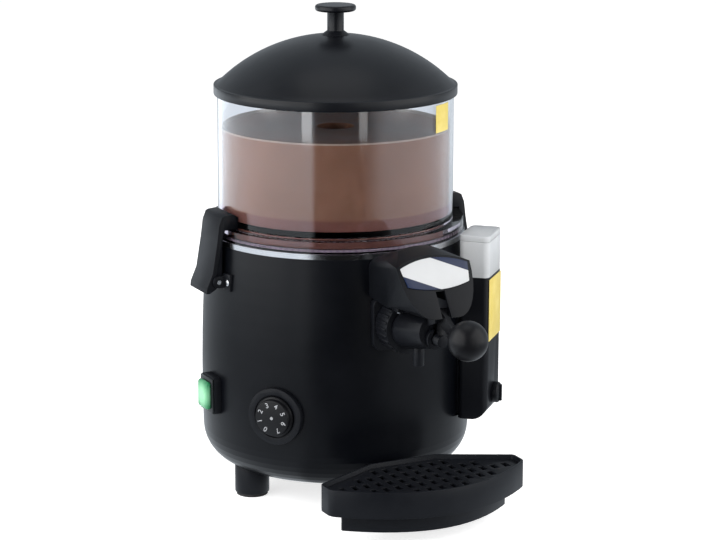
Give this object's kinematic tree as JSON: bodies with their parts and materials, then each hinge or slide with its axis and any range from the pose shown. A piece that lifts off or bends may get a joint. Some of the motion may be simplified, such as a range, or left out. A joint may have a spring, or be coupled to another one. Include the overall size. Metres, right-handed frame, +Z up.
{
  "type": "hot chocolate dispenser",
  "caption": "Countertop hot chocolate dispenser: clear bowl with stirrer over a water-jacketed steel pan, lever tap under a hood, water box, heat dial and drip tray.",
  "frame": {"origin": "middle of the overall footprint, on the table top", "axes": "+Z up, -Y the front with the tap, +X towards the water box"},
  "size_m": [0.288, 0.412, 0.4655],
  "materials": {
    "body_paint": "semi-matt black enamel",
    "black_plastic": "fine satin",
    "gloss_black": "soft gloss",
    "polished_steel": "polished",
    "steel": "brushed",
    "clear_plastic": "clear",
    "rubber": "matt",
    "brass_fitting": "machined",
    "motor_grey": "satin",
    "white_plastic": "smooth",
    "grey_plastic": "smooth",
    "label_yellow": "smooth sticker",
    "switch_green": "lit, clear"
  },
  "bodies": {
    "machine": {"body_shell": "body_paint", "base_plate": "body_paint", "base_screws": "steel", "legs": "black_plastic", "leg_screws": "steel", "leg_pads": "rubber", "water_tub": "steel", "heater_ring": "steel", "steel_pan": "polished_steel", "tub_seal_nut": "brass_fitting", "gear_motor": "motor_grey", "motor_bracket": "steel", "shaft_seal": "rubber", "bowl_gasket": "rubber", "bowl": "clear_plastic", "latch_brackets": "black_plastic", "latch_screws": "steel", "left_latch_pin": "steel", "right_latch_pin": "steel", "tap_collar": "body_paint", "tap_seal": "rubber", "union_nut": "black_plastic", "tap_body": "black_plastic", "spout": "black_plastic", "return_spring": "steel", "valve_cap": "black_plastic", "lever_pin": "steel", "tap_hood": "black_plastic", "hood_screws": "steel", "badge_plate": "white_plastic", "water_box": "black_plastic", "sight_tank": "clear_plastic", "water_pipe": "steel", "box_label": "label_yellow", "dial_bezel": "black_plastic", "thermostat": "white_plastic", "switch_frame": "black_plastic", "switch_boot": "switch_green", "tray_holder": "black_plastic", "tray_screws": "steel", "cord_gland": "black_plastic", "terminal_block": "white_plastic"},
    "stirrer_body": {"drive_shaft": "steel", "stirrer": "grey_plastic"},
    "lid_body": {"lid": "gloss_black", "lid_knob": "gloss_black", "lid_knob_screw": "steel"},
    "left_clip_body": {"left_latch_clip": "black_plastic"},
    "right_clip_body": {"right_latch_clip": "black_plastic"},
    "lever_body": {"tap_lever": "gloss_black", "lever_knob": "gloss_black"},
    "piston_body": {"valve_piston": "black_plastic", "piston_ring": "rubber"},
    "box_lid_body": {"water_box_lid": "clear_plastic"},
    "plug_body": {"drain_plug": "black_plastic"},
    "dial_body": {"dial_knob": "black_plastic", "dial_spindle": "steel"},
    "rocker_body": {"switch_rocker": "switch_green"},
    "tray_body": {"drip_tray": "black_plastic"},
    "grate_body": {"tray_grate": "black_plastic"}
  },
  "joints": [
    {"name": "stirrer_spin", "type": "hinge", "parent": "machine", "child": "stirrer_body", "pos_m": [0, 0.076, 0.25], "axis": [0, 0, 1], "continuous": true},
    {"name": "lid_lift", "type": "slide", "parent": "machine", "child": "lid_body", "axis": [0, 0, 1], "range_m": [0, 0.12]},
    {"name": "left_clip_hinge", "type": "hinge", "parent": "machine", "child": "left_clip_body", "pos_m": [-0.1325, 0.076, 0.214], "axis": [0, -1, 0], "range_deg": [0, 50]},
    {"name": "right_clip_hinge", "type": "hinge", "parent": "machine", "child": "right_clip_body", "pos_m": [0.1325, 0.076, 0.214], "axis": [0, 1, 0], "range_deg": [0, 50]},
    {"name": "lever_hinge", "type": "hinge", "parent": "machine", "child": "lever_body", "pos_m": [0, -0.137, 0.212], "axis": [1, 0, 0], "range_deg": [0, 20], "stiffness_Nm_per_rad": 0.6, "springref_deg": -11.46},
    {"name": "piston_slide", "type": "slide", "parent": "machine", "child": "piston_body", "axis": [0, 1, 0], "range_m": [0, 0.0086], "deforming": ["return_spring"]},
    {"name": "box_lid_lift", "type": "slide", "parent": "machine", "child": "box_lid_body", "axis": [0, 0, 1], "range_m": [0, 0.05]},
    {"name": "plug_pull", "type": "slide", "parent": "machine", "child": "plug_body", "axis": [0.7193, -0.6947, 0], "range_m": [0, 0.02]},
    {"name": "dial_turn", "type": "hinge", "parent": "machine", "child": "dial_body", "pos_m": [-0.10258, -0.00707, 0.096], "axis": [-0.7771, -0.6293, 0], "range_deg": [0, 270]},
    {"name": "switch_rock", "type": "hinge", "parent": "machine", "child": "rocker_body", "pos_m": [-0.12598, 0.0738, 0.101], "axis": [0.0175, -0.9998, 0], "range_deg": [-8, 8]},
    {"name": "tray_lift", "type": "slide", "parent": "machine", "child": "tray_body", "axis": [0, 0, 1], "range_m": [0, 0.05]},
    {"name": "grate_lift", "type": "slide", "parent": "tray_body", "child": "grate_body", "axis": [0, 0, 1], "range_m": [0, 0.04]}
  ],
  "couplings": [
    {"joint": "piston_slide", "follows": "lever_hinge", "m_per_rad": 0.024}
  ]
}
